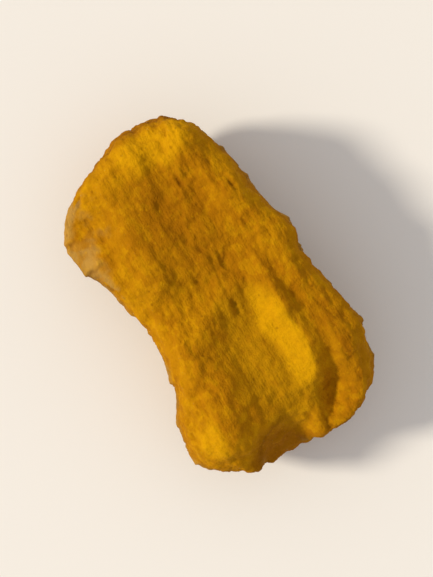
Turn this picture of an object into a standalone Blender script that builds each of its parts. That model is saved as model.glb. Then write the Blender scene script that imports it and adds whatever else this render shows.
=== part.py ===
"""A chunk of dried turmeric root, at its real size.

It is a finger of the rhizome that was split lengthwise, chopped at both ends and dried. It lies on its
skin with the split face up: +X runs along the finger from the broad end to the foot, +Y points to the
side with the ledge, and +Z is up. The origin is on the surface that it rests on, under the middle of its
box. The core has shrunk out of the foot's half, which leaves a hollow between a rim and a sharp crest.
Behind the crest lies a lower ledge of rind. The skin round the underside has rings, wrinkles and scars.

Lengths are in millimetres until the last step, which writes them in metres.
"""

import math

import bmesh
import bpy
from mathutils import Matrix, Vector, noise

MM = 0.001

# Driving dimensions
LENGTH = 17.4
WIDTH = 10.4
WIDEST_HEIGHT = 3.5
FACE_HEIGHT = 5.9
HOLLOW_DEPTH = 0.65
WALL_WIDTH = 1.5
CREST_RISE = 0.4
RIM_TILT = 0.12
LEDGE_DROP = 0.2
LEDGE_TILT = 0.06
GROOVE_DEPTH = 0.7
FOOT_HEIGHT = 4.8
CHOP_DROP = 2.2
LEAST_ABOVE_WIDEST = 0.8
END_LIFT = 1.5
UNDERCUT = 0.07
RING_GAP = 2.1
RING_RISE = 0.24
WRINKLE_DEPTH = 0.24
PRESSED_FLAT = 0.55

# Where things begin and where they reach their full measure: along the finger, from its middle
FOOT_HALF = (-1.2, 1.8)
GROOVE_DEEPENS = (4.2, 6.2)
CREST_FADES = (4.8, 7.8)
HOLLOW_FADES = (5.8, 8.0)
FOOT_FALLS = (5.0, 10.0)
CHOP_ALONG = (6.6, 8.6)

# The same across it: past the rim, past the crest, and the two sides of the chopped facet
HOLLOW_SIDE = (-0.3, 1.8)
CREST_BACK = (0.0, 0.4)
CHOP_NEAR_SIDE = (-3.2, -1.3)
CHOP_FAR_SIDE = (-0.3, 1.1)

# How far the groove's middle lies behind the crest, and its half width
GROOVE_PLACE = (0.45, 0.32)

# How much of the groove's depth it has before it deepens, and of the hollow's where it has faded
SHALLOW_GROOVE = 0.25
SHALLOW_HOLLOW = 0.5

# The width over which the ledge tilts
LEDGE_WIDTH = 1.8

# Grid cells along, across and down the block that the chunk is shaped from
CELLS = (52, 28, 12)

# How squarely the faces meet: 2 is an ellipse, and more is squarer
NEAR_TOP_EDGE = 4.5
FAR_TOP_EDGE = 8.0
UNDER_EDGE = 1.85
END_EDGE = 8.0

# Times that the whole surface is evened out, and how much each time
SMOOTHINGS = 2
SMOOTHING = 0.35

# Where the skin ends: on the block's sides by height, and towards its chopped ends
SKIN_TOP = (-0.35, 0.1)
SKIN_END = (0.94, 1.0)

# Four lines along the finger, from the broad end to the foot, seen from above, in shares of half the
# length and half the width: the two edges, and between them the inner edge of the rim and the crest
NEAR_EDGE = (
    (-0.80, -0.87), (-0.67, -1.00), (-0.50, -0.95), (-0.37, -0.85), (-0.20, -0.78), (0.05, -0.68),
    (0.18, -0.71), (0.35, -0.76), (0.50, -0.85), (0.70, -0.92), (0.84, -0.84), (0.94, -0.68),
)
RIM = (
    (-0.98, -0.18), (-0.70, -0.08), (-0.40, 0.02), (-0.15, 0.06), (0.00, -0.02), (0.10, -0.18),
    (0.19, -0.31), (0.36, -0.36), (0.53, -0.34), (0.71, -0.36), (0.97, -0.40),
)
CREST = (
    (-1.00, 0.20), (-0.70, 0.32), (-0.40, 0.38), (-0.15, 0.44), (0.02, 0.47), (0.18, 0.50), (0.35, 0.53),
    (0.50, 0.53), (0.65, 0.47), (0.79, 0.36), (0.965, 0.17),
)
FAR_EDGE = (
    (-1.00, 0.46), (-0.75, 0.65), (-0.50, 0.73), (-0.27, 0.81), (-0.12, 0.90), (0.02, 0.84),
    (0.20, 0.88), (0.36, 0.93), (0.50, 1.00), (0.62, 0.94), (0.78, 0.89), (0.90, 0.77), (0.99, 0.60),
)

# Where the four lines lie across the block, which puts the rim and the crest on lines of its grid
LINE_MARKS = (-1, -4 / 14, 6 / 14, 1)

# Swellings and dips of the split face: place, radii, turn in degrees, and rise, in millimetres
FACE_FORMS = (
    ((-7.3, 2.1), (0.9, 0.8), 0, 0.45),
    ((-7.4, 0.2), (0.8, 0.7), 0, 0.35),
    ((-5.9, -4.9), (2.0, 1.7), 25, -1.6),
    ((-4.2, 2.9), (2.6, 0.8), 12, 0.30),
    ((-4.9, 0.0), (1.5, 0.7), -10, -0.20),
    ((-2.6, -2.3), (1.8, 1.1), 15, 0.30),
    ((-0.6, -0.2), (1.3, 2.2), 20, -0.35),
    ((-1.0, -2.9), (0.6, 1.3), -20, -0.28),
    ((2.2, -2.8), (1.3, 0.8), 0, 0.25),
    ((5.5, -2.7), (1.8, 1.1), -8, 0.45),
    ((7.3, 0.7), (1.1, 1.5), 0, -0.45),
    ((6.9, 2.5), (1.1, 0.9), -35, -0.80),
    ((5.0, 4.3), (0.9, 0.7), 0, 0.12),
)

# Root scars on the skin: share of half the length, and degrees round the finger from below to +Y
ROOT_SCARS = ((-0.55, -32), (-0.18, 35), (0.12, -48), (0.42, 20), (0.70, -30), (-0.72, 48))
SCAR_RADIUS = 0.8
SCAR_DEPTH = 0.3

FLESH_COLOUR = (0.42, 0.17, 0.02, 1.0)
FLESH_ROUGHNESS = 0.9


def eased(low, high, value):
    """0 below low, 1 above high, and a smooth rise between them."""
    share = min(1.0, max(0.0, (value - low) / (high - low)))
    return share * share * (3 - 2 * share)


def mound(x, y, place, radii, turn):
    """1 at the place, and less away from it, over two radii that are turned by so many degrees."""
    offset = Matrix.Rotation(math.radians(-turn), 2) @ Vector((x - place[0], y - place[1]))
    return math.exp(-((offset.x / radii[0]) ** 2) - (offset.y / radii[1]) ** 2)


def smooth_curve(points, marks):
    """A curve that passes through each point at its mark, as a function of the mark."""
    last = len(points) - 1
    slopes = []
    for i in range(last + 1):
        before, after = max(i - 1, 0), min(i + 1, last)
        slopes.append((points[after] - points[before]) / (marks[after] - marks[before]))

    def at(mark):
        i = sum(passed <= mark for passed in marks[1:-1])
        span = marks[i + 1] - marks[i]
        t = (mark - marks[i]) / span
        by_points = points[i] * (1 + 2 * t) * (1 - t) ** 2 + points[i + 1] * t * t * (3 - 2 * t)
        by_slopes = slopes[i] * t * (1 - t) ** 2 + slopes[i + 1] * t * t * (t - 1)
        return by_points + by_slopes * span

    return at


def line_along(shares):
    """One of the lines along the finger, as a curve whose marks run evenly from -1 to 1."""
    points = [Vector((x * LENGTH / 2, y * WIDTH / 2)) for x, y in shares]
    run = [0.0]
    for start, end in zip(points, points[1:]):
        run.append(run[-1] + (end - start).length)
    return smooth_curve(points, [2 * length / run[-1] - 1 for length in run])


LINES = [line_along(shares) for shares in (NEAR_EDGE, RIM, CREST, FAR_EDGE)]


def face_height(place, rim, crest):
    """The height of the split face at a place, given the points of the rim and the crest beside it."""
    foot_half = eased(*FOOT_HALF, place.x)
    behind = place.y - crest.y
    wall = max(0.0, min(1.0, 1 + behind / WALL_WIDTH)) ** 1.3
    past_crest = eased(*CREST_BACK, behind)
    groove = math.exp(-(((behind - GROOVE_PLACE[0]) / GROOVE_PLACE[1]) ** 2))
    groove *= SHALLOW_GROOVE + (1 - SHALLOW_GROOVE) * eased(*GROOVE_DEEPENS, place.x)
    hollow = (1 - wall) * eased(*HOLLOW_SIDE, place.y - rim.y)
    hollow *= 1 - (1 - SHALLOW_HOLLOW) * eased(*HOLLOW_FADES, place.x)
    height = FACE_HEIGHT + foot_half * CREST_RISE * wall * (1 - past_crest) * (1 - eased(*CREST_FADES, place.x))
    height -= foot_half * (HOLLOW_DEPTH * hollow + LEDGE_DROP * past_crest + GROOVE_DEPTH * groove)
    height -= foot_half * RIM_TILT * max(0.0, rim.y - place.y)
    height += LEDGE_TILT * min(max(behind, 0.0), LEDGE_WIDTH)
    height += (FOOT_HEIGHT - height) * eased(*FOOT_FALLS, place.x)
    chopped = eased(*CHOP_NEAR_SIDE, place.y) * (1 - eased(*CHOP_FAR_SIDE, place.y))
    height -= CHOP_DROP * eased(*CHOP_ALONG, place.x) * chopped
    for centre, radii, turn, rise in FACE_FORMS:
        height += rise * mound(place.x, place.y, centre, radii, turn)
    return height


def rounded(first, second, power):
    """How much a point of a square is drawn in when the square's corners are rounded."""
    first, second = abs(first), abs(second)
    return max(first, second) / (first**power + second**power) ** (1 / power)


def on_the_form(point):
    """The place on the chunk's main form of a point of the block, whose sides are at -1 and 1."""
    top_edge = FAR_TOP_EDGE if point.y > 0 else NEAR_TOP_EDGE
    section = rounded(point.y, point.z, top_edge if point.z > 0 else UNDER_EDGE) if point.yz.length else 1
    end = rounded(point.x, max(abs(point.y), abs(point.z)), END_EDGE)
    across, level = point.y * section * end, point.z * section * end
    along = point.x * end * (1 + UNDERCUT * min(level, 0))
    beside = [line(along) for line in LINES]
    plan = smooth_curve(beside, LINE_MARKS)(across)
    face = face_height(plan, beside[1], beside[2])
    widest = min(WIDEST_HEIGHT, face - LEAST_ABOVE_WIDEST)
    belly = END_LIFT * abs(along) ** 3.5
    reach = face - widest if level > 0 else widest - belly
    return Vector((plan.x, plan.y, widest + level * reach))


def ring_places():
    """Where the rings cross the finger: a little uneven, as the buds that left them were."""
    places = [-0.88 * LENGTH / 2]
    while places[-1] < 0.85 * LENGTH / 2:
        places.append(places[-1] + RING_GAP * (1 + 0.25 * math.sin(2.6 * len(places))))
    return places


RINGS = ring_places()


def skin_relief(place):
    """How far the skin stands out: rings with a sharp lip to the foot, wrinkles, and pits where roots were."""
    around = math.atan2(place.y, WIDEST_HEIGHT - place.z)
    slant = place.x - 0.5 * math.sin(around * 2 + 0.6) + 0.35 * noise.noise(place * 0.5)
    relief = 0.0
    for ring in RINGS:
        run = (slant - ring) / (0.3 if slant > ring else 0.8)
        relief += RING_RISE * math.exp(-run * run)
    relief += WRINKLE_DEPTH * noise.noise(Vector((place.x * 0.22, around * 2.6, 4.0)))
    for share, degrees in ROOT_SCARS:
        aside = (around - math.radians(degrees)) * WIDEST_HEIGHT
        away = Vector((place.x - share * LENGTH / 2, aside)).length / SCAR_RADIUS
        relief += SCAR_DEPTH * (0.6 * math.exp(-(((away - 1.1) / 0.45) ** 2)) - math.exp(-((away / 0.7) ** 2)))
    return relief


def flesh_relief(place):
    """How far the torn flesh stands out: lumps, and fibres that run along the finger."""
    lumps = 0.26 * noise.noise(place * 0.55) + 0.16 * noise.noise(place * 1.15 + Vector((5, 5, 5)))
    fibres = 0.16 * noise.noise(Vector((place.x * 0.3, place.y * 1.25, place.z * 1.25 + 9)))
    return lumps + fibres


def add_block():
    """A block from -1 to 1 with its grid of cells."""
    block = bmesh.new()
    bmesh.ops.create_cube(block, size=2)
    for axis, cells in enumerate(CELLS):
        runs = [edge for edge in block.edges if edge.verts[0].co[axis] != edge.verts[1].co[axis]]
        bmesh.ops.subdivide_edges(block, edges=runs, cuts=cells - 1, use_grid_fill=True)
    return block


def settle(block):
    """Presses the resting spot flat, and puts the chunk at its size with its box's middle over the origin."""
    resting_level = min(vert.co.z for vert in block.verts) + PRESSED_FLAT
    for vert in block.verts:
        vert.co.z = max(vert.co.z - resting_level, 0)
    for axis, size in enumerate((LENGTH, WIDTH)):
        places = [vert.co[axis] for vert in block.verts]
        low, high = min(places), max(places)
        for vert in block.verts:
            vert.co[axis] = (vert.co[axis] - (low + high) / 2) * size / (high - low)
    bmesh.ops.scale(block, verts=block.verts, vec=(MM, MM, MM))


def add_root():
    """The whole chunk, one closed solid."""
    block = add_block()
    skin_share = {}
    for vert in block.verts:
        skin_share[vert] = (1 - eased(*SKIN_TOP, vert.co.z)) * (1 - eased(*SKIN_END, abs(vert.co.x)))
        vert.co = on_the_form(vert.co)
    block.normal_update()
    relief = {}
    for vert in block.verts:
        share = skin_share[vert]
        relief[vert] = share * skin_relief(vert.co) + (1 - share) * flesh_relief(vert.co)
    for vert in block.verts:
        vert.co += vert.normal * relief[vert]
    for _ in range(SMOOTHINGS):
        bmesh.ops.smooth_vert(
            block, verts=block.verts, factor=SMOOTHING, use_axis_x=True, use_axis_y=True, use_axis_z=True
        )
    settle(block)
    mesh = bpy.data.meshes.new("turmeric_root")
    block.to_mesh(mesh)
    block.free()
    mesh.shade_smooth()
    return bpy.data.objects.new("turmeric_root", mesh)


def add_material():
    material = bpy.data.materials.new("dried_flesh")
    material.use_nodes = True
    shader = material.node_tree.nodes["Principled BSDF"]
    shader.inputs["Base Color"].default_value = FLESH_COLOUR
    shader.inputs["Roughness"].default_value = FLESH_ROUGHNESS
    shader.inputs["Metallic"].default_value = 0.0
    return material


for leftover in list(bpy.data.objects):
    bpy.data.objects.remove(leftover)
collection = bpy.data.collections.new("turmeric_root")
bpy.context.scene.collection.children.link(collection)
root = add_root()
root.data.materials.append(add_material())
collection.objects.link(root)
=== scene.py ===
"""The look of a chunk of dried turmeric root: a fine carved surface and its finish, on a plain pale floor.

+X runs along the finger from the broad end to the foot, +Y points to the side with the ledge, and +Z is
up. Places and sizes with mm in their name are in millimetres, and all others are in metres.
"""

import math
import random

import bpy
from mathutils import Matrix, Vector, noise
from mathutils.kdtree import KDTree


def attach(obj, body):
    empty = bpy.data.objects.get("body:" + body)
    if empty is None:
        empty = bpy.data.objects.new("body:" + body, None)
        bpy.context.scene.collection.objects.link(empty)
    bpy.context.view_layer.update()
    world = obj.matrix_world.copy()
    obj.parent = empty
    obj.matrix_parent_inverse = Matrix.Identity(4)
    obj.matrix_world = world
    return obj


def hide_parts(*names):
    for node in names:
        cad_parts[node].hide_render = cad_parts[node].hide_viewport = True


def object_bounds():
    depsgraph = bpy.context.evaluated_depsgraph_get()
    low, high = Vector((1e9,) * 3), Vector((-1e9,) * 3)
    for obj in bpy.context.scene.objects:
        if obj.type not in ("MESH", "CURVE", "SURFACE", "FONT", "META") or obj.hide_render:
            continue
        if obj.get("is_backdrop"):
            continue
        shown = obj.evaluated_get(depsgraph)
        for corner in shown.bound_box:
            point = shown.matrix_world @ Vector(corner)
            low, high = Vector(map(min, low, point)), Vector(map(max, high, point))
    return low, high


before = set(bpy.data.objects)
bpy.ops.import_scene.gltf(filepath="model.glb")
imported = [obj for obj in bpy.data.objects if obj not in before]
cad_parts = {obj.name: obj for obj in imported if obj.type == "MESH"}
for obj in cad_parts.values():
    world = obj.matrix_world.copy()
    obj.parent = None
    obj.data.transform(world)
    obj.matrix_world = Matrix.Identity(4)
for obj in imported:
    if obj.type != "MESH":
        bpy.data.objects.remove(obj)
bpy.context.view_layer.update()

bl_info = {
    "name": "Dried Turmeric Chunk",
    "version": (1, 0, 0),
    "blender": (4, 5, 0),
    "location": "View3D > Sidebar > Turmeric",
    "description": "Carves and finishes one chunk of dried turmeric root",
    "category": "Add Mesh",
}

MM = 0.001
NODE = "turmeric_root"
SEED = 11

# The floor's sides and the steps of its curve, and the colour of the light from all round
FLOOR_SIDES = 96
FLOOR_STEPS = 10
SKY_COLOUR = (0.98, 0.97, 1.0, 1)

# Where the view is as high as its setting says, as a share of the chunk's height
VIEW_LEVEL = 0.7


class RootSettings(bpy.types.PropertyGroup):
    """Sizes of the carved detail and colours of the finish."""

    levels: bpy.props.IntProperty(
        name="Fineness", description="How often the surface is divided before it is carved", default=2, min=0
    )
    fibre_depth: bpy.props.FloatProperty(
        name="Fibre Depth", description="Height of the lengthwise fibres of the torn flesh",
        default=0.06 * MM, unit="LENGTH", precision=5,
    )
    crumb_depth: bpy.props.FloatProperty(
        name="Crumb Depth", description="Height of the crumbly grain of the flesh", default=0.055 * MM,
        unit="LENGTH", precision=5,
    )
    facet_height: bpy.props.FloatProperty(
        name="Facet Height", description="Height of the facets where the flesh broke", default=0.26 * MM,
        unit="LENGTH", precision=5,
    )
    granule_height: bpy.props.FloatProperty(
        name="Granule Height", description="Height of the small round granules of the torn flesh",
        default=0.125 * MM, unit="LENGTH", precision=5,
    )
    pit_depth: bpy.props.FloatProperty(
        name="Pit Depth", description="Depth of the small pits and slits", default=0.12 * MM, unit="LENGTH",
        precision=5,
    )
    wrinkle_depth: bpy.props.FloatProperty(
        name="Wrinkle Depth", description="Height of the fine wrinkles of the skin", default=0.10 * MM,
        unit="LENGTH", precision=5,
    )
    lip_height: bpy.props.FloatProperty(
        name="Lip Height", description="Height of the thin lip on each ring of the skin", default=0.16 * MM,
        unit="LENGTH", precision=5,
    )
    skin_thickness: bpy.props.FloatProperty(
        name="Skin Thickness", description="How far the skin's torn edge stands above the flesh",
        default=0.06 * MM, unit="LENGTH", precision=5,
    )
    pits: bpy.props.IntProperty(
        name="Pits", description="Number of pits and slits over the whole surface", default=130, min=0
    )
    flesh: bpy.props.FloatVectorProperty(
        name="Flesh", description="Main colour of the dried flesh", subtype="COLOR", size=4, min=0, max=1,
        default=(0.372, 0.145, 0.0007, 1),
    )
    # Also the colour of the painted shade on the foot's facet, the ledge and the upper face
    dark_flesh: bpy.props.FloatVectorProperty(
        name="Dark Flesh", description="Colour of the resin-brown fibres", subtype="COLOR", size=4, min=0,
        max=1, default=(0.270, 0.096, 0.0005, 1),
    )
    # Also the colour of the painted highlight on the lit wall and the lit spots
    powder: bpy.props.FloatVectorProperty(
        name="Powder", description="Colour of the yellow powder on worn edges", subtype="COLOR", size=4,
        min=0, max=1, default=(0.58, 0.284, 0.0010, 1),
    )
    core: bpy.props.FloatVectorProperty(
        name="Core", description="Olive-yellow colour of the bared core in the hollow", subtype="COLOR",
        size=4, min=0, max=1, default=(0.39, 0.180, 0.001, 1),
    )
    # The colour of painted shade in the low places, pits and past the rings' lips, of the core's dark line,
    # and of the dark grit specks
    shade_and_specks: bpy.props.FloatVectorProperty(
        name="Recess", description="Colour deep in pits and cracks", subtype="COLOR", size=4, min=0, max=1,
        default=(0.15, 0.050, 0.0006, 1),
    )
    skin: bpy.props.FloatVectorProperty(
        name="Skin", description="Tan colour of the papery skin", subtype="COLOR", size=4, min=0, max=1,
        default=(0.39, 0.205, 0.036, 1),
    )
    dark_skin: bpy.props.FloatVectorProperty(
        name="Dark Skin", description="Grey-brown colour between the rings of the skin", subtype="COLOR",
        size=4, min=0, max=1, default=(0.19, 0.088, 0.012, 1),
    )


class StudioSettings(bpy.types.PropertyGroup):
    """The floor, the light and the camera."""

    floor_radius: bpy.props.FloatProperty(
        name="Floor Radius", description="Radius of the flat part of the floor", default=0.12, unit="LENGTH"
    )
    floor_curve: bpy.props.FloatProperty(
        name="Floor Curve", description="Radius with which the floor curves up all round", default=1.5,
        unit="LENGTH",
    )
    floor_slope: bpy.props.FloatProperty(
        name="Floor Slope", description="Slope of the floor beyond the curve", default=math.radians(9),
        subtype="ANGLE",
    )
    floor_reach: bpy.props.FloatProperty(
        name="Floor Reach", description="Radius of the whole floor", default=0.9, unit="LENGTH"
    )
    floor_colour: bpy.props.FloatVectorProperty(
        name="Floor", description="Colour of the floor", subtype="COLOR", size=4, min=0, max=1,
        default=(0.79, 0.755, 0.70, 1),
    )
    key_strength: bpy.props.FloatProperty(
        name="Key Light", description="Strength of the main light", default=3.05, min=0
    )
    key_colour: bpy.props.FloatVectorProperty(
        name="Key Colour", description="Colour of the main light", subtype="COLOR", size=3, min=0, max=1,
        default=(1.0, 0.93, 0.80),
    )
    key_elevation: bpy.props.FloatProperty(
        name="Key Elevation", description="Height of the main light above the floor",
        default=math.radians(34), subtype="ANGLE",
    )
    key_softness: bpy.props.FloatProperty(
        name="Key Softness", description="Angle that the main light fills", default=math.radians(10),
        subtype="ANGLE",
    )
    sky_strength: bpy.props.FloatProperty(
        name="Sky", description="Strength of the even light from all round", default=0.62, min=0
    )
    lens: bpy.props.FloatProperty(
        name="Lens", description="Focal length of the camera", default=135, min=1, subtype="DISTANCE_CAMERA"
    )
    view_height: bpy.props.FloatProperty(
        name="View Height", description="Height of the picture where the chunk lies", default=27.5 * MM,
        unit="LENGTH", precision=4,
    )
    roll: bpy.props.FloatProperty(
        name="Roll", description="Turn of the picture round the line of sight", default=math.radians(60),
        subtype="ANGLE",
    )


def eased(low, high, value):
    """0 below low, 1 above high, and a smooth rise between them."""
    share = min(1.0, max(0.0, (value - low) / (high - low)))
    return share * share * (3 - 2 * share)


def ridge(value, middle, width):
    """1 where the value is at the middle, and less away from it over the width."""
    return math.exp(-(((value - middle) / width) ** 2))


def mound(place, centre, radii):
    """1 at the centre, and less away from it over two radii, seen from above."""
    return math.exp(-(((place.x - centre[0]) / radii[0]) ** 2) - ((place.y - centre[1]) / radii[1]) ** 2)


# Regions of the surface: a place and its radii, or from where to where a region begins
SKIN_TOP_MM = (3.45, 3.7)
BARK_CORNER_MM = ((-4.8, -4.7), (2.8, 1.8))
HOLLOW_MM = ((4.0, 0.6), (3.8, 1.9))
# The foot's chopped facet, which faces away from the main light: painted shade goes here
SHADED_FOOT_MM = ((8.2, -1.2), (1.3, 1.8))
# The hollow's steep wall, which faces the main light: a painted highlight goes here
BRIGHT_WALL_MM = ((4.0, 1.3), (3.5, 1.6))
# Spots lit by the main light, at the foot's rim and the broad end's top edge: a painted highlight goes here
LIT_SPOTS_MM = (((6.3, -3.7), (1.2, 0.8)), ((-7.3, 0.7), (1.3, 2.6)))
# The ledge and the upper face: painted shade goes here
SHADED_PATCHES_MM = (((5.2, 3.9), (2.2, 1.1)), ((-3.6, 0.1), (3.4, 1.6)))
END_MM = (6.2, 7.0)
END_RADII_MM = (4.4, 3.1)

# The dark line round the core: its middle and width, as shares of the end's radii
CORE_LINE = (0.6, 0.04)

# The finger's middle height, the radius of its skin, and the rings' spacing and reach along it
MIDDLE_MM = 3.0
SKIN_RADIUS_MM = 4.2
RING_GAP_MM = 2.1
RING_REACH_MM = (-7.65, 7.4)

# The painted shadow past each ring's lip, and the run over which its lip rises and falls
RING_SHADOW_MM = (0.09, 0.10)
LIP_RISE_MM = 0.4
LIP_FALL_MM = 0.05

# Half the spacing of the granules, the pits' radii, and the heights over which relief sets in
GRANULE_SPREAD_MM = 0.24
PIT_RADII_MM = (0.10, 0.24)
RELIEF_FROM_MM = (0.02, 0.35)

# A pit's width as a share of its length, its share of the full depth, and its reach in radii
PIT_SQUEEZE = (0.18, 0.5)
PIT_SHARE = (0.4, 1.0)
PIT_REACH = 5.0

# The range of relief that the finish tells apart
RELIEF_RANGE_MM = 0.6


def ring_places():
    """Where the rings of the skin cross the finger, in millimetres from its middle."""
    places = [RING_REACH_MM[0]]
    while places[-1] < RING_REACH_MM[1]:
        places.append(places[-1] + RING_GAP_MM * (1 + 0.25 * math.sin(2.6 * len(places))))
    return places


RINGS_MM = ring_places()


def chopped_share(place, normal):
    """How far a place lies on one of the two chopped ends."""
    return eased(0.55, 0.8, abs(normal.x)) * eased(*END_MM, abs(place.x))


def skin_share(place, normal):
    """How far the papery skin covers a place: the underside, and the corner where it laps onto the face."""
    ragged = 0.9 * noise.noise(Vector((place.x * 0.5, place.y * 0.5, place.z * 0.4)))
    ragged += 0.5 * noise.noise(place * 1.7) + 0.22 * noise.noise(place * 4.2)
    below = 1 - eased(*SKIN_TOP_MM, place.z + ragged)
    below *= 1 - eased(0.30, 0.55, normal.z)
    shoulder = 1 - eased(0.72, 0.92, normal.z + 0.25 * ragged)
    flaked = 0.2 * ragged + 0.35 * noise.noise(place * 2.9 + Vector((4, 7, 1)))
    corner = eased(0.34, 0.50, mound(place, *BARK_CORNER_MM) + flaked) * shoulder
    return max(below * (1 - chopped_share(place, normal)), corner)


def hollow_share(place, normal):
    """How far a place lies in the hollow that the core left."""
    ragged = 0.15 * noise.noise(place * 0.9)
    return eased(0.25, 0.6, mound(place, *HOLLOW_MM) + ragged) * eased(0.1, 0.5, normal.z)


def lit_and_worn_share(place, normal):
    """How bright a place is painted: a painted highlight on the hollow's steep wall, which faces the main
    light, and on the lit spots at the foot's rim and the broad end's top edge, and yellow powder on the worn
    top edges.
    """
    facing_up = eased(0.1, 0.4, normal.z)
    # Painted highlight on the wall that faces the main light and on the lit spots; the edge term is powder on
    # worn edges
    wall = eased(0.05, 0.34, -normal.y) * eased(0.25, 0.6, mound(place, *BRIGHT_WALL_MM))
    lit_spots = max(mound(place, *region) for region in LIT_SPOTS_MM) + 0.25 * noise.noise(place * 1.1)
    edge = eased(0.25, 0.55, normal.z) * (1 - eased(0.80, 0.94, normal.z)) * eased(3.8, 5.0, place.z)
    return max(wall * facing_up, 0.85 * eased(0.3, 0.8, lit_spots) * facing_up, 0.2 * edge)


def resin_and_shade_share(place, normal):
    """How dark a place is painted: resin-brown on the chopped ends, and painted shade on the foot's chopped
    facet, which faces away from the main light, and on the ledge and the upper face.
    """
    # Painted shade on the foot's facet and on the ledge and upper face; the chopped ends get a real
    # resin-brown
    foot = eased(0.3, 0.7, mound(place, *SHADED_FOOT_MM))
    shaded_patches = max(mound(place, *region) for region in SHADED_PATCHES_MM)
    return max(0.5 * chopped_share(place, normal), foot, 0.8 * shaded_patches * eased(0.1, 0.4, normal.z))


def core_line(place, normal):
    """The thin dark line round the core, where it shows on a chopped end."""
    reach = Vector((place.y / END_RADII_MM[0], (place.z - MIDDLE_MM) / END_RADII_MM[1])).length
    reach += 0.12 * noise.noise(place * 0.9)
    return chopped_share(place, normal) * ridge(reach, *CORE_LINE)


def flesh_carving(place, normal, settings):
    """How far the torn flesh stands out: fibres along the finger, crumbs, and facets where it broke."""
    bend = 0.8 * noise.noise(Vector((place.x * 0.25, place.y * 0.4, 3.0)))
    across = Vector((place.x * 0.28, (place.y + bend) * 2.1, place.z * 2.1))
    fibres = noise.noise(across) + 0.6 * noise.noise(across * 2.3 + Vector((7, 1, 4)))
    crumbs = 0.8 * noise.noise(place * 1.7) + 0.7 * noise.noise(place * 3.6) + 0.7 * noise.noise(place * 6.5)
    distances, _ = noise.voronoi(place * 0.75 + Vector((2, 8, 5)))
    facets = min(distances[1] - distances[0], 0.5) - 0.25
    on_the_face = eased(0.1, 0.7, abs(normal.z))
    relief = settings.fibre_depth * fibres * (0.35 + 0.65 * on_the_face)
    relief += settings.crumb_depth * crumbs * (1.25 - 0.5 * on_the_face)
    granules, _ = noise.voronoi(place * (0.5 / GRANULE_SPREAD_MM) + Vector((1, 6, 2)))
    patchy = 0.35 + 0.65 * eased(-0.25, 0.35, noise.noise(place * 0.55 + Vector((5, 0, 3))))
    relief += settings.granule_height * (0.5 - granules[0]) * patchy
    return relief + settings.facet_height * facets * (1 - 0.5 * on_the_face)


def past_ring(place, around):
    """How far a place is past the nearest ring of the skin, towards the foot, in millimetres."""
    slant = place.x - 0.5 * math.sin(around * 2 + 0.6) + 0.35 * noise.noise(place * 0.5)
    slant += 0.12 * noise.noise(place * 2.4)
    return min((slant - ring for ring in RINGS_MM), key=abs)


def skin_carving(place, past, arc, settings):
    """How far the dried skin stands out: a lip on each ring, fine wrinkles along the finger, and scurf."""
    wrinkles = 1 - 2 * abs(noise.noise(Vector((place.x * 0.30, arc * 0.95, 2.0))))
    wrinkles += 0.5 * (1 - 2 * abs(noise.noise(Vector((place.x * 0.7, arc * 2.4, 6.0)))))
    hoops = noise.noise(Vector((past * 3.6, arc * 0.18, 0.0)))
    scurf = noise.noise(place * 5.5) + 0.6 * noise.noise(place * 10.0)
    lip = math.exp(past / LIP_RISE_MM) if past < 0 else math.exp(-past / LIP_FALL_MM)
    uneven = 0.65 + 0.7 * noise.noise(Vector((place.x * 0.4, arc * 0.6, 9.0)))
    relief = settings.wrinkle_depth * (0.8 * wrinkles + 0.4 * hoops + 0.28 * scurf - 0.5)
    return relief + settings.lip_height * lip * uneven + settings.skin_thickness


def sink_pits(places, relief, settings):
    """Sinks pits and slits into the relief, and returns how deep each place lies in one."""
    draw = random.Random(SEED)
    tree = KDTree(len(places))
    for index, place in enumerate(places):
        tree.insert(place, index)
    tree.balance()
    pitted = [0.0] * len(places)
    for _ in range(settings.pits):
        centre = draw.choice(places)
        radius = draw.uniform(*PIT_RADII_MM)
        depth = settings.pit_depth * draw.uniform(*PIT_SHARE) * min(1.0, radius / 0.20)
        squeeze = Vector((draw.uniform(*PIT_SQUEEZE), 1.0, 1.0))
        for place, index, _ in tree.find_range(centre, radius * PIT_REACH):
            ragged = 0.5 * noise.noise(place * 2.2) + 0.4 * noise.noise(place * 5.0)
            away = ((place - centre) * squeeze).length / radius + ragged
            pit = 1 - eased(0.2, 1.0, away)
            relief[index] -= depth * pit
            pitted[index] = max(pitted[index], pit * depth / settings.pit_depth)
    return pitted


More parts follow.
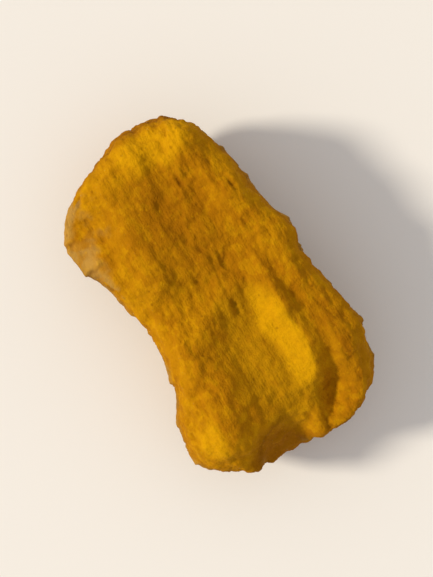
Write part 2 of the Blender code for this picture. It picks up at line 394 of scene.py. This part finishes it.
def carve(mesh, settings):
    """Moves every point of the mesh out or in along its normal, and notes what the finish needs to know."""
    places = [vert.co / MM for vert in mesh.vertices]
    normals = [vert.normal.copy() for vert in mesh.vertices]
    skin = [skin_share(place, normal) for place, normal in zip(places, normals)]
    relief, ring_shadows_and_core_lines = [], []
    for place, normal, share in zip(places, normals, skin):
        around = math.atan2(place.y, MIDDLE_MM - place.z)
        past = past_ring(place, around)
        flesh = flesh_carving(place, normal, settings)
        bark = skin_carving(place, past, around * SKIN_RADIUS_MM, settings)
        relief.append(flesh + share * (bark - flesh))
        # A painted shadow past each ring's lip, and the real dark line round the core
        ring_shadows_and_core_lines.append(max(share * ridge(past, *RING_SHADOW_MM), core_line(place, normal)))
    pitted = sink_pits(places, relief, settings)
    off_the_floor = [eased(*RELIEF_FROM_MM, place.z) for place in places]
    for vert, normal, height, free in zip(mesh.vertices, normals, relief, off_the_floor):
        vert.co += normal * height * free
        vert.co.z = max(vert.co.z, 0.0)
    shares = {
        "skin": skin,
        "hollow": [hollow_share(place, normal) for place, normal in zip(places, normals)],
        # The bright share: painted highlight on the lit wall and spots, and powder on worn edges
        "lit_and_worn": [lit_and_worn_share(place, normal) for place, normal in zip(places, normals)],
        # The dark share: resin-brown on the chopped ends, and painted shade on the foot's facet, the ledge
        # and the upper face
        "resin_and_shade": [resin_and_shade_share(place, normal) for place, normal in zip(places, normals)],
        # The line share: painted shadow past the rings' lips, and the core's dark line
        "ring_shadow_and_core_line": ring_shadows_and_core_lines,
        "pitted": pitted,
        "raised": [0.5 + height / (RELIEF_RANGE_MM * MM) for height in relief],
    }
    for name, values in shares.items():
        mesh.attributes.new(name, "FLOAT", "POINT").data.foreach_set("value", values)


class Wire:
    """A socket of a material's nodes, with arithmetic that adds its Math nodes."""

    def __init__(self, paint, socket):
        self.paint = paint
        self.socket = socket

    def reckon(self, operation, *values, clamp=False):
        return self.paint.node("Math", {"operation": operation, "use_clamp": clamp}, dict(enumerate(values)))

    def __add__(self, other):
        return self.reckon("ADD", self, other)

    def __sub__(self, other):
        return self.reckon("SUBTRACT", self, other)

    def __rsub__(self, other):
        return self.reckon("SUBTRACT", other, self)

    def __mul__(self, other):
        return self.reckon("MULTIPLY", self, other)

    __radd__ = __add__

    def clamped(self):
        return self.reckon("ADD", self, 0, clamp=True)

    def rise(self, low, high):
        """0 where this is below low, 1 above high, and a smooth rise between them."""
        inputs = {"Value": self, "From Min": low, "From Max": high}
        return self.paint.node("MapRange", {"interpolation_type": "SMOOTHSTEP"}, inputs)


class Paint:
    """Builds one material's nodes."""

    def __init__(self, name):
        self.material = bpy.data.materials.new(name)
        self.material.use_nodes = True
        self.tree = self.material.node_tree
        self.shader = self.tree.nodes["Principled BSDF"]

    def node(self, kind, settings, inputs, output=0):
        """Adds a node, with its settings first and then its sockets' values and links."""
        made = self.tree.nodes.new("ShaderNode" + kind)
        for name, value in settings.items():
            setattr(made, name, value)
        for name, value in inputs.items():
            self.feed(made.inputs[name], value)
        return Wire(self, made.outputs[output])

    def feed(self, socket, value):
        if isinstance(value, Wire):
            self.tree.links.new(value.socket, socket)
        else:
            socket.default_value = value

    def note(self, name):
        """A value that was noted on the mesh when it was carved."""
        return self.node("Attribute", {"attribute_name": name}, {}, output="Fac")

    def places(self, per_mm, stretch=(1, 1, 1), shift=(0, 0, 0)):
        scale = [per_mm / MM * along for along in stretch]
        spot = self.node("TexCoord", {}, {}, output="Object")
        return self.node("Mapping", {}, {"Vector": spot, "Scale": scale, "Location": shift})

    def cloud(self, per_mm, stretch=(1, 1, 1), shift=(0, 0, 0), detail=3.0, roughness=0.55):
        """Soft noise from 0 to 1, with so many waves in a millimetre."""
        spot = self.places(per_mm, stretch, shift)
        inputs = {"Vector": spot, "Scale": 1, "Detail": detail, "Roughness": roughness}
        return self.node("TexNoise", {}, inputs)

    def specks(self, per_mm, shift=(0, 0, 0)):
        """The distance to the nearest of many scattered points."""
        return self.node("TexVoronoi", {}, {"Vector": self.places(per_mm, shift=shift), "Scale": 1})

    def blend(self, share, first, second):
        """The first colour where the share is 0, and the second where it is 1."""
        inputs = {"Factor": share, 6: first, 7: second}
        return self.node("Mix", {"data_type": "RGBA"}, inputs, output=2)


def flesh_colour(paint, settings, grain, fine_streaks):
    """Orange flesh, streaked and mottled, darker where it is chopped, with painted shade on the foot's facet,
    the ledge and the upper face, and yellow with a painted highlight on the lit wall and spots and powder on
    the worn edges.
    """
    patches = paint.cloud(0.35, shift=(3, 1, 7)).rise(0.38, 0.64)
    streaks = paint.cloud(1.0, stretch=(0.22, 1.9, 1.9), detail=4.0, roughness=0.6)
    mottles = paint.cloud(1.9, shift=(6, 2, 8), detail=2.0)
    flesh = paint.blend(patches * 0.30, settings.flesh, settings.powder)
    flesh = paint.blend(streaks.rise(0.50, 0.74) * 0.50, flesh, settings.dark_flesh)
    flesh = paint.blend(fine_streaks.rise(0.56, 0.74) * 0.35, flesh, settings.dark_flesh)
    flesh = paint.blend(mottles.rise(0.52, 0.64) * 0.38, flesh, settings.dark_flesh)
    flesh = paint.blend((1 - mottles.rise(0.36, 0.48)) * 0.34, flesh, settings.powder)
    # Resin-brown on the chopped ends, and painted shade on the foot's facet, the ledge and the upper face
    flesh = paint.blend(paint.note("resin_and_shade") * 0.8, flesh, settings.dark_flesh)
    core = paint.blend(grain.rise(0.45, 0.7) * 0.35, settings.core, settings.powder)
    core = paint.blend(mottles.rise(0.52, 0.66) * 0.30, core, settings.dark_flesh)
    flesh = paint.blend(paint.note("hollow") * 0.85, flesh, core)
    # Painted highlight on the lit wall and spots, and powder on the worn edges
    lit_and_powdered = paint.note("lit_and_worn") * (0.70 + grain.rise(0.4, 0.65) * 0.30)
    return paint.blend(lit_and_powdered, flesh, settings.powder)


def bark_colour(paint, settings):
    """Tan papery skin, mottled, wrinkled, and rubbed through to the flesh in places."""
    mottle = paint.cloud(0.6, shift=(0, 5, 2), detail=5.0).rise(0.40, 0.64)
    wrinkles = paint.cloud(1.0, stretch=(0.45, 3.4, 3.4), shift=(2, 7, 1), detail=4.0).rise(0.48, 0.70)
    bark = paint.blend(mottle * 0.60, settings.skin, settings.dark_skin)
    bark = paint.blend(wrinkles * 0.45, bark, settings.dark_skin)
    return paint.blend(paint.cloud(0.9, detail=5.0).rise(0.50, 0.62) * 0.60, bark, settings.flesh)


def turmeric_finish(settings):
    """Dry, powdery flesh and papery skin."""
    paint = Paint("dried_turmeric")
    skin, raised = paint.note("skin"), paint.note("raised")
    grain = paint.cloud(4.5, detail=4.0, roughness=0.7)
    fine_streaks = paint.cloud(1.0, stretch=(0.7, 6.5, 6.5), shift=(1, 2, 3), detail=3.0)
    flecks = paint.specks(2.6, shift=(4, 4, 0))
    grit = paint.specks(1.3, shift=(9, 0, 2))

    flesh = flesh_colour(paint, settings, grain, fine_streaks)
    colour = paint.blend(skin, flesh, bark_colour(paint, settings))
    dusted = raised.rise(0.54, 0.95) * grain.rise(0.32, 0.62)
    colour = paint.blend(dusted * (0.65 - skin * 0.2), colour, settings.powder)
    # Painted shade in the low places of the relief, in pits and past the rings' lips, and the core's real
    # dark line
    painted_cavity_shade = (1 - raised.rise(0.05, 0.45)) * 0.32
    painted_shade_and_core_line = (painted_cavity_shade + paint.note("pitted") * 0.22 + paint.note("ring_shadow_and_core_line") * 0.5).clamped()
    colour = paint.blend(painted_shade_and_core_line, colour, settings.shade_and_specks)
    colour = paint.blend((1 - flecks.rise(0.10, 0.22)) * 0.25, colour, settings.powder)
    colour = paint.blend((1 - grit.rise(0.05, 0.14)) * 0.35, colour, settings.shade_and_specks)

    bumps = grain + paint.cloud(11.0, detail=3.0) * 0.5 + fine_streaks * (1 - skin) * 0.8
    normal = paint.node("Bump", {}, {"Height": bumps, "Strength": 0.9, "Distance": 0.08 * MM})
    paint.feed(paint.shader.inputs["Base Color"], colour)
    paint.feed(paint.shader.inputs["Roughness"], 0.98 - skin * grain.rise(0.3, 0.7) * 0.22)
    paint.feed(paint.shader.inputs["Normal"], normal)
    paint.feed(paint.shader.inputs["Specular IOR Level"], 0.06)
    return paint.material


def floor_finish(colour):
    """Smooth, matt and pale."""
    paint = Paint("pale_floor")
    tone = paint.cloud(0.02, detail=2.0).rise(0.2, 0.8)
    paler = [min(1.0, part * 1.02) for part in colour[:3]] + [1.0]
    paint.feed(paint.shader.inputs["Base Color"], paint.blend(tone, colour, paler))
    paint.feed(paint.shader.inputs["Roughness"], 0.9)
    return paint.material


def start_clean():
    """Leaves edit mode and deselects all."""
    if bpy.context.object and bpy.context.object.mode != "OBJECT":
        bpy.ops.object.mode_set(mode="OBJECT")
    bpy.ops.object.select_all(action="DESELECT")


def pick(piece):
    start_clean()
    piece.select_set(True)
    bpy.context.view_layer.objects.active = piece


# How near points are joined into one, and how far two triangles may be from a flat square to be one face
JOINED_WITHIN_MM = 0.002
SQUARE_WITHIN = math.radians(60)


def merged_copy(node, name):
    """A copy of a node of the frame with its triangles joined into one skin of mostly four-sided faces."""
    piece = bpy.data.objects.new(name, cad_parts[node].data.copy())
    bpy.context.scene.collection.objects.link(piece)
    piece.data.materials.clear()
    pick(piece)
    bpy.ops.object.mode_set(mode="EDIT")
    bpy.ops.mesh.select_all(action="SELECT")
    bpy.ops.mesh.remove_doubles(threshold=JOINED_WITHIN_MM * MM)
    bpy.ops.mesh.tris_convert_to_quads(face_threshold=SQUARE_WITHIN, shape_threshold=SQUARE_WITHIN)
    bpy.ops.object.mode_set(mode="OBJECT")
    return piece


class TURMERIC_OT_root(bpy.types.Operator):
    """Carve the chunk over the plain solid and give it its finish"""

    bl_idname = "turmeric.root"
    bl_label = "Turmeric Chunk"

    def execute(self, context):
        settings = context.scene.turmeric_root
        piece = merged_copy(NODE, "turmeric_chunk")
        finer = piece.modifiers.new("finer", "SUBSURF")
        finer.levels = finer.render_levels = settings.levels
        bpy.ops.object.modifier_apply(modifier=finer.name)
        carve(piece.data, settings)
        bpy.ops.object.shade_smooth()
        piece.data.materials.append(turmeric_finish(settings))
        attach(piece, "root")
        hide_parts(NODE)
        return {"FINISHED"}


class TURMERIC_OT_stage(bpy.types.Operator):
    """Add the floor, the light and the camera"""

    bl_idname = "turmeric.stage"
    bl_label = "Floor, Light and Camera"

    def execute(self, context):
        settings = context.scene.turmeric_studio
        self.add_floor(settings)
        self.add_light(context, settings)
        self.add_camera(context, settings)
        return {"FINISHED"}

    def add_floor(self, settings):
        """A flat floor that curves up to a gentle slope all round."""
        start_clean()
        bpy.ops.mesh.primitive_circle_add(
            vertices=FLOOR_SIDES, radius=settings.floor_radius, fill_type="NGON"
        )
        floor = bpy.context.object
        floor.name = "floor"
        bpy.ops.object.mode_set(mode="EDIT")
        bpy.ops.mesh.select_all(action="SELECT")
        bpy.ops.mesh.region_to_loop()
        profile = []
        for step in range(1, FLOOR_STEPS + 1):
            turn = settings.floor_slope * step / FLOOR_STEPS
            out = settings.floor_radius + settings.floor_curve * math.sin(turn)
            profile.append((out, settings.floor_curve * (1 - math.cos(turn))))
        rise = (settings.floor_reach - profile[-1][0]) * math.tan(settings.floor_slope)
        profile.append((settings.floor_reach, profile[-1][1] + rise))
        reach, level = settings.floor_radius, 0.0
        for next_reach, next_level in profile:
            bpy.ops.mesh.extrude_edges_move(TRANSFORM_OT_translate={"value": (0, 0, next_level - level)})
            bpy.ops.transform.resize(value=(next_reach / reach, next_reach / reach, 1))
            reach, level = next_reach, next_level
        bpy.ops.object.mode_set(mode="OBJECT")
        bpy.ops.object.shade_smooth_by_angle(angle=math.radians(30))
        floor.data.materials.append(floor_finish(tuple(settings.floor_colour)))
        floor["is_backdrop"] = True

    def add_light(self, context, settings):
        """A main light from the left of the picture, and an even pale light from all round."""
        key = bpy.data.lights.new("key", "SUN")
        key.energy = settings.key_strength
        key.color = settings.key_colour
        key.angle = settings.key_softness
        lamp = bpy.data.objects.new("key", key)
        left = Matrix.Rotation(settings.roll, 3, "Z") @ Vector((-1, 0, 0))
        towards = left * math.cos(settings.key_elevation) + Vector((0, 0, math.sin(settings.key_elevation)))
        lamp.rotation_mode = "QUATERNION"
        lamp.rotation_quaternion = towards.to_track_quat("Z", "Y")
        context.scene.collection.objects.link(lamp)
        sky = bpy.data.worlds.new("sky")
        sky.use_nodes = True
        background = sky.node_tree.nodes["Background"]
        background.inputs["Color"].default_value = SKY_COLOUR
        background.inputs["Strength"].default_value = settings.sky_strength
        context.scene.world = sky
        context.scene.view_settings.view_transform = "Standard"

    def add_camera(self, context, settings):
        """Looks straight down, as the photograph does, with the finger running down to the right."""
        data = bpy.data.cameras.new("camera")
        data.lens = settings.lens
        camera = bpy.data.objects.new("camera", data)
        half = math.atan(data.sensor_width / 2 / data.lens)
        low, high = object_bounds()
        camera.location = ((low.x + high.x) / 2, (low.y + high.y) / 2, high.z * VIEW_LEVEL)
        camera.location.z += settings.view_height / 2 / math.tan(half)
        camera.rotation_euler = (0, 0, settings.roll)
        data.clip_start = 1 * MM
        context.scene.collection.objects.link(camera)
        context.scene.camera = camera


class TURMERIC_PT_panel(bpy.types.Panel):
    """Lists the steps in the sidebar"""

    bl_idname = "TURMERIC_PT_panel"
    bl_label = "Dried Turmeric Chunk"
    bl_space_type = "VIEW_3D"
    bl_region_type = "UI"
    bl_category = "Turmeric"

    def draw(self, context):
        for operator in (TURMERIC_OT_root, TURMERIC_OT_stage):
            self.layout.operator(operator.bl_idname)
        for settings in (context.scene.turmeric_root, context.scene.turmeric_studio):
            for name in settings.__annotations__:
                self.layout.prop(settings, name)


CLASSES = (RootSettings, StudioSettings, TURMERIC_OT_root, TURMERIC_OT_stage, TURMERIC_PT_panel)


def register():
    for cls in CLASSES:
        bpy.utils.register_class(cls)
    bpy.types.Scene.turmeric_root = bpy.props.PointerProperty(type=RootSettings)
    bpy.types.Scene.turmeric_studio = bpy.props.PointerProperty(type=StudioSettings)


def unregister():
    del bpy.types.Scene.turmeric_studio
    del bpy.types.Scene.turmeric_root
    for cls in reversed(CLASSES):
        bpy.utils.unregister_class(cls)


def main():
    register()
    bpy.ops.turmeric.root()
    bpy.ops.turmeric.stage()


if __name__ == "__main__":
    main()
